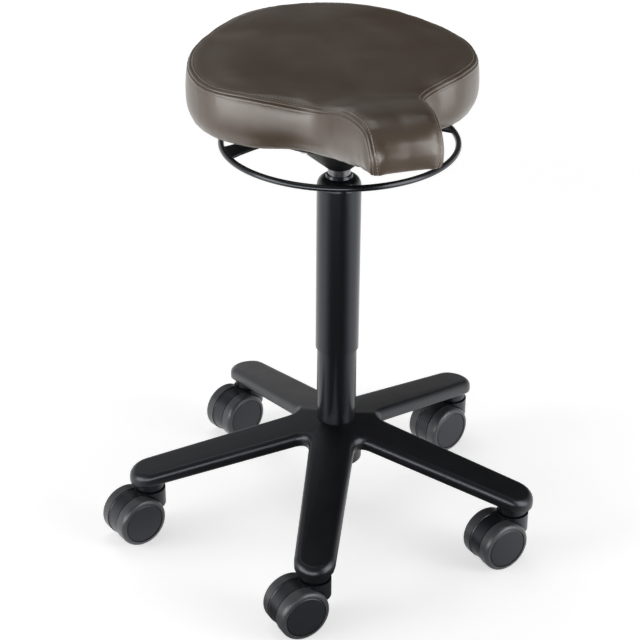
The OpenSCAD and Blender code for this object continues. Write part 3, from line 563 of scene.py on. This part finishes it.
def stitchTree():
    # lays one pill at each pitch of a line, turned to the line and to its facing
    tree = bpy.data.node_groups.new("stitchRow", "GeometryNodeTree")
    sockets = tree.interface
    sockets.new_socket("Geometry", in_out="INPUT", socket_type="NodeSocketGeometry")
    for label in ("Pitch", "Stitch length", "Thread"):
        sockets.new_socket(label, in_out="INPUT", socket_type="NodeSocketFloat")
    sockets.new_socket("Material", in_out="INPUT", socket_type="NodeSocketMaterial")
    sockets.new_socket("Geometry", in_out="OUTPUT", socket_type="NodeSocketGeometry")
    given = addNode(tree, "NodeGroupInput").outputs
    facing = addNode(tree, "GeometryNodeInputNamedAttribute", {"data_type": "FLOAT_VECTOR"},
                     {"Name": "facing"})
    line = addNode(tree, "GeometryNodeMeshToCurve", {}, {"Mesh": given["Geometry"]})
    spaced = addNode(tree, "GeometryNodeResampleCurve", {"mode": "LENGTH"},
                     {"Curve": line.outputs["Curve"], "Length": given["Pitch"]})
    tangent = addNode(tree, "GeometryNodeInputTangent")
    turn = addNode(tree, "FunctionNodeAxesToRotation", {"primary_axis": "Z", "secondary_axis": "X"},
                   {"Primary Axis": facing.outputs["Attribute"],
                    "Secondary Axis": tangent.outputs["Tangent"]})
    pill = addNode(tree, "GeometryNodeMeshUVSphere", {}, {"Segments": 8, "Rings": 5, "Radius": 0.5})
    size = addNode(tree, "ShaderNodeCombineXYZ", {},
                   {"X": given["Stitch length"], "Y": given["Thread"], "Z": given["Thread"]})
    placed = addNode(tree, "GeometryNodeInstanceOnPoints", {},
                     {"Points": spaced.outputs["Curve"], "Instance": pill.outputs["Mesh"],
                      "Rotation": turn.outputs["Rotation"], "Scale": size.outputs["Vector"]})
    real = addNode(tree, "GeometryNodeRealizeInstances", {}, {"Geometry": placed.outputs["Instances"]})
    done = addNode(tree, "GeometryNodeSetMaterial", {},
                   {"Geometry": real.outputs["Geometry"], "Material": given["Material"]})
    addNode(tree, "NodeGroupOutput", {}, {"Geometry": done.outputs["Geometry"]})
    return tree


stitchNodes = stitchTree()


def stitchRow(name, places, facings, pitch, length, thick, material):
    mesh = bpy.data.meshes.new(name)
    mesh.from_pydata([tuple(p) for p in places], [(i, i + 1) for i in range(len(places) - 1)], [])
    mesh.attributes.new("facing", "FLOAT_VECTOR", "POINT").data.foreach_set(
        "vector", np.array([tuple(f) for f in facings], float).ravel())
    piece = inScene(name, mesh)
    modifier = piece.modifiers.new("stitches", "NODES")
    modifier.node_group = stitchNodes
    values = {"Pitch": pitch, "Stitch length": length, "Thread": thick, "Material": material}
    for item in stitchNodes.interface.items_tree:
        if item.in_out == "INPUT" and item.name in values:
            modifier[item.identifier] = values[item.name]
    applied(piece)
    piece.data.polygons.foreach_set("use_smooth", [True] * len(piece.data.polygons))
    piece.data.materials.clear()
    piece.data.materials.append(material)
    return piece


stitches = stitchRow("seamStitches", stitchPlaces, stitchNormals,
                     seat["stitchPitchMm"] * mm, seat["stitchMm"] * mm, seat["threadMm"] * mm, thread)
print("stitches set,", len(stitches.data.polygons), "faces")

# the cover's edge, turned in under the board and stapled
ahead = np.roll(rim, -1, 0) - np.roll(rim, 1, 0)
inward = np.stack([-ahead[:, 1], ahead[:, 0], 0 * ahead[:, 0]], 1)
inward /= np.linalg.norm(inward, axis=1)[:, None]
if (inward[:, :2] * -rim[:, :2]).sum() < 0:
    inward *= -1
top, foot = 0.2, -0.7  # the strip's two faces in mm, from the board's underside
section = ((0.0, top), (seat["turnInMm"], top), (seat["turnInMm"], foot), (0.0, foot))
points = [p + w * u * mm + np.array([0, 0, h * mm]) for p, w in zip(rim, inward) for u, h in section]
turnIn = newPiece("coverTurnIn", points, ringFaces(len(rim), len(section)), leather, smooth=False)
faceOutward(turnIn)
staplePlaces = rim + inward * seat["stapleInMm"] * mm - np.array([0, 0, 0.8 * mm])
staples = stitchRow("coverStaples", staplePlaces, [(0, 0, -1)] * len(rim), seat["staplePitchMm"] * mm,
                    seat["stapleMm"] * mm, seat["stapleWireMm"] * mm, brightSteel)
for piece in (cover, welt, stitches, turnIn, staples):
    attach(piece, "seat_unit")
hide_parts("seat_foam", "top_cover", "left_band", "right_band")


# the five-arm base

base = {
    "smoothDegrees": 32,   # flatter corners than this are rounded by shading
}


def smoothCopy(name, node, degrees, material):
    work = weldedMesh([node], 2e-6)
    for f in work.faces:
        f.smooth = True
    for e in work.edges:
        e.smooth = not (len(e.link_faces) == 2 and e.calc_face_angle(0) > math.radians(degrees))
    mesh = bpy.data.meshes.new(name)
    work.to_mesh(mesh)
    work.free()
    mesh.materials.append(material)
    piece = inScene(name, mesh)
    even = piece.modifiers.new("weighted", "WEIGHTED_NORMAL")
    even.keep_sharp = True
    even.weight = 100
    applied(piece)
    return piece


castBase = smoothCopy("castBase", "star_base", base["smoothDegrees"], baseCoat)
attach(castBase, "base")
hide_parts("star_base")
print("base smoothed")


# the casters

casters = {
    "shadeRingMm": 1.5,    # width of the painted shade ring on each tread's bevel, beside the hood
    "footMm": 1.6,    # how far in from the tread's largest radius the painted shade ring starts
    "proudMm": 0.1,   # how far the painted shade ring stands out of the tread's bevel
    "edgeSteps": 72,
}


def paintedTreadShade(i, side):
    # a closed matt black ring on the bevel of the tread's inner edge: painted shade for the shadowed gap
    # between tread and hood
    joint = next(j for j in frame["record"]["behaviour"]["joints"] if j["name"] == f"caster_{i}_{side}_spin")
    centre, axis = np.array(joint["pos_m"]), np.array(joint["axis"])
    tread = pointsOf(nodes[f"caster_{i}_tread_{side}"]) - centre
    if (tread @ axis).mean() < 0:
        axis = -axis
    along = tread @ axis
    radius = np.linalg.norm(tread - along[:, None] * axis, axis=1)
    level = np.cross(axis, (0, 0, 1))
    width, proud = casters["shadeRingMm"] * mm, casters["proudMm"] * mm
    inner, foot = along.min(), radius.max() - casters["footMm"] * mm
    section = ((foot, inner), (foot + proud + width, inner + width - proud), (foot, inner + width))
    steps = casters["edgeSteps"]
    points = []
    for k in range(steps):
        turn = 2 * math.pi * k / steps
        outward = level * math.cos(turn) + np.array([0, 0, math.sin(turn)])
        points += [centre + axis * a + outward * q for q, a in section]
    name = f"caster{i}{side.title()}TreadEdge"
    ring = newPiece(name, points, ringFaces(steps, len(section)), shell, smooth=False)
    faceOutward(ring)
    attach(ring, f"caster_{i}_{side}")


# painted shade rings: a dark line beside each hood, where the gap is in shadow
for i in range(1, 6):
    for side in ("inner", "outer"):
        paintedTreadShade(i, side)
print("tread edges set")


# floor, light and camera

studio = {
    "floor": "#e4e4e4",
    "floorGlow": 0.56,       # added to the lit floor, so that it reads as white
    "farGlow": 1.0,          # the same far from the stool, so that no horizon shows
    "walls": 0.95,           # brightness of the walls left and right, at the height of the stool
    "highWalls": 0.35,       # the same well above the stool
    "darkShare": 0.12,       # share of that light in front of and behind the stool
    "lowDark": 0.22,         # the same near the floor
    "ceiling": 0.3,
    "sweep": 1.3,            # floor as gloss sees it, at the sides and behind
    "cameraSweep": 0.12,     # the same on the camera's side
    "shade": 0.6,            # share of the floor's gloss in the stool's own shadow
}
softboxes = {  # degrees left of the view, distance, height, width and height of the box, watts
    "leftSoftbox": (110, 3.2, 1.4, (1.6, 1.2), 36.0),
    "rightSoftbox": (-110, 3.2, 1.1, (1.0, 1.4), 18.0),
    "frontSoftbox": (-120, 3.0, 1.3, (1.3, 1.8), 14.0),
    "overheadSoftbox": (20, 0.9, 2.6, (1.4, 1.4), 9.0),
}
glossCards = {  # degrees left of the view, distance, lower and upper edge, strength
    "lowCard": (range(104, 189, 7), 1.75, 0.05, 0.72, 6.6),
    "frontCard": (range(-142, -101, 8), 1.5, 0.02, 1.8, 5.5),
}
viewAzimuth = 72.0  # degrees, the way the photograph looks
softRamp = {"interpolation_type": "SMOOTHSTEP"}


def horizontal(degrees):
    # a level direction, turned to the left of the view
    turn = math.radians(viewAzimuth + degrees)
    return Vector((math.cos(turn), math.sin(turn), 0))


def ramp(value, low, high, atLow, atHigh):
    # the inputs of a node that turns one range of values into another
    return {"Value": value, "From Min": low, "From Max": high, "To Min": atLow, "To Max": atHigh}


far = 30.0  # from the middle of the floor to its edges, so that gloss never looks past it
floor = newPiece("floor", [(-far, -far, 0), (far, -far, 0), (far, far, 0), (-far, far, 0)],
                 [(0, 1, 2, 3)], None, smooth=False)
floorPaint = newMaterial("floorPaperMatt", studio["floor"], 0.9)
tree, bsdf = shaderOf(floorPaint)
rays = addNode(tree, "ShaderNodeLightPath")
place = addNode(tree, "ShaderNodeTexCoord").outputs["Object"]
way = addNode(tree, "ShaderNodeVectorMath", {"operation": "NORMALIZE"}, {0: place}).outputs["Vector"]
reach = addNode(tree, "ShaderNodeVectorMath", {"operation": "LENGTH"}, {0: place}).outputs["Value"]
# what gloss sees of the floor: darker towards the camera, and in the stool's shadow
facingCamera = addNode(tree, "ShaderNodeVectorMath", {"operation": "DOT_PRODUCT"},
                       {0: way, 1: horizontal(180)}).outputs["Value"]
sweep = addNode(tree, "ShaderNodeMapRange", softRamp,
                ramp(facingCamera, 0.25, 0.88, studio["sweep"], studio["cameraSweep"])).outputs["Result"]
shadow = addNode(tree, "ShaderNodeMapRange", softRamp,
                 ramp(reach, 0.1, 0.4, studio["shade"], 1)).outputs["Result"]
shade = addNode(tree, "ShaderNodeMath", {"operation": "MULTIPLY"}, {0: sweep, 1: shadow})
glossy = addNode(tree, "ShaderNodeEmission", {}, {"Color": white, "Strength": shade.outputs["Value"]})
# what the camera sees of it
farGlow = addNode(tree, "ShaderNodeMapRange", softRamp,
                  ramp(reach, 1.0, 3.5, studio["floorGlow"], studio["farGlow"])).outputs["Result"]
glow = addNode(tree, "ShaderNodeEmission", {}, {"Color": white, "Strength": farGlow})
seenFloor = addNode(tree, "ShaderNodeAddShader", {}, {0: bsdf.outputs["BSDF"], 1: glow.outputs["Emission"]})
byGloss = addNode(tree, "ShaderNodeMixShader", {}, {0: rays.outputs["Is Glossy Ray"],
                                                    1: seenFloor.outputs["Shader"],
                                                    2: glossy.outputs["Emission"]})
output = next(n for n in tree.nodes if n.type == "OUTPUT_MATERIAL")
tree.links.new(byGloss.outputs["Shader"], output.inputs["Surface"])
floor.data.materials.clear()
floor.data.materials.append(floorPaint)

world = bpy.data.worlds.new("studio")
bpy.context.scene.world = world
world.use_nodes = True
tree = world.node_tree
tree.nodes.clear()
rays = addNode(tree, "ShaderNodeLightPath")
direction = addNode(tree, "ShaderNodeTexCoord").outputs["Generated"]
height = addNode(tree, "ShaderNodeSeparateXYZ", {}, {"Vector": direction}).outputs["Z"]
leftward = addNode(tree, "ShaderNodeVectorMath", {"operation": "DOT_PRODUCT"},
                   {0: direction, 1: horizontal(90)}).outputs["Value"]
wall = addNode(tree, "ShaderNodeMapRange", softRamp,
               ramp(height, 0.1, 0.6, studio["walls"], studio["highWalls"])).outputs["Result"]
# the walls are bright to the left and right, and dark in front and behind
dark = addNode(tree, "ShaderNodeMapRange", softRamp,
               ramp(height, 0.08, 0.34, studio["lowDark"], studio["darkShare"])).outputs["Result"]
leftWall = addNode(tree, "ShaderNodeMapRange", softRamp, ramp(leftward, -0.05, 0.4, dark, 1))
rightWall = addNode(tree, "ShaderNodeMapRange", softRamp,
                    ramp(leftward, -0.85, -0.4, 1, studio["darkShare"]))
strip = addNode(tree, "ShaderNodeMath", {"operation": "MAXIMUM"},
                {0: leftWall.outputs["Result"], 1: rightWall.outputs["Result"]}).outputs["Value"]
walls = addNode(tree, "ShaderNodeMath", {"operation": "MULTIPLY"}, {0: wall, 1: strip}).outputs["Value"]
room = addNode(tree, "ShaderNodeMapRange", softRamp,
               ramp(height, 0.7, 0.92, walls, studio["ceiling"])).outputs["Result"]
seen = addNode(tree, "ShaderNodeBackground", {}, {"Color": white, "Strength": 1.0})
lit = addNode(tree, "ShaderNodeBackground", {}, {"Color": white, "Strength": room})
mixed = addNode(tree, "ShaderNodeMixShader", {},
                {0: rays.outputs["Is Camera Ray"],
                 1: lit.outputs["Background"],
                 2: seen.outputs["Background"]})
addNode(tree, "ShaderNodeOutputWorld", {}, {"Surface": mixed.outputs["Shader"]})


def softbox(name, degrees, distance, height, size, power):
    light = bpy.data.lights.new(name, "AREA")
    light.shape = "RECTANGLE"
    light.size, light.size_y = size
    light.energy = power
    lamp = inScene(name, light)
    lamp.location = horizontal(degrees) * distance + Vector((0, 0, height))
    lamp.rotation_euler = (Vector((0, 0, 0.45)) - lamp.location).to_track_quat("-Z", "Y").to_euler()


def glossCard(name, turns, distance, low, high, strength):
    # a lit white card in a curve round the stool, which only gloss sees
    places = [horizontal(a) * distance for a in turns]
    card = newPiece(name, [(p.x, p.y, z) for p in places for z in (low, high)],
                    [(i, i + 1, i + 3, i + 2) for i in range(0, 2 * len(places) - 2, 2)], None)
    paper = bpy.data.materials.new(name + "PaperLit")
    paper.use_nodes = True
    tree = paper.node_tree
    tree.nodes.clear()
    shine = addNode(tree, "ShaderNodeEmission", {}, {"Color": white, "Strength": strength})
    clear = addNode(tree, "ShaderNodeBsdfTransparent")
    rays = addNode(tree, "ShaderNodeLightPath")
    both = addNode(tree, "ShaderNodeMixShader", {},
                   {0: rays.outputs["Is Glossy Ray"], 1: clear.outputs["BSDF"], 2: shine.outputs["Emission"]})
    addNode(tree, "ShaderNodeOutputMaterial", {}, {"Surface": both.outputs["Shader"]})
    card.data.materials.clear()
    card.data.materials.append(paper)


for name, values in softboxes.items():
    softbox(name, *values)
for name, values in glossCards.items():
    glossCard(name, *values)

# the photograph's camera, fitted to the base, the column, the ring and the wheels
shot = {
    "place": (-0.6280, -1.8628, 1.3327),
    "azimuth": viewAzimuth,
    "pitch": 28.128,
    "roll": 0.465,
    "lensMm": 100.49,
}
turn, pitch, roll = (math.radians(shot[k]) for k in ("azimuth", "pitch", "roll"))
forward = Vector((math.cos(turn) * math.cos(pitch), math.sin(turn) * math.cos(pitch), -math.sin(pitch)))
right = Vector((math.sin(turn), -math.cos(turn), 0))
up = right.cross(forward)
tiltedRight = right * math.cos(roll) + up * math.sin(roll)
tiltedUp = up * math.cos(roll) - right * math.sin(roll)
lens = bpy.data.cameras.new("camera")
lens.lens = shot["lensMm"]
lens.sensor_width = 36
lens.clip_start = 0.05
camera = inScene("camera", lens)
rows = zip(zip(tiltedRight, tiltedUp, -forward), shot["place"])
camera.matrix_world = Matrix([(*row, place) for row, place in rows] + [(0, 0, 0, 1)])
bpy.context.scene.camera = camera
bpy.context.scene.view_settings.view_transform = "Standard"
print("studio set")
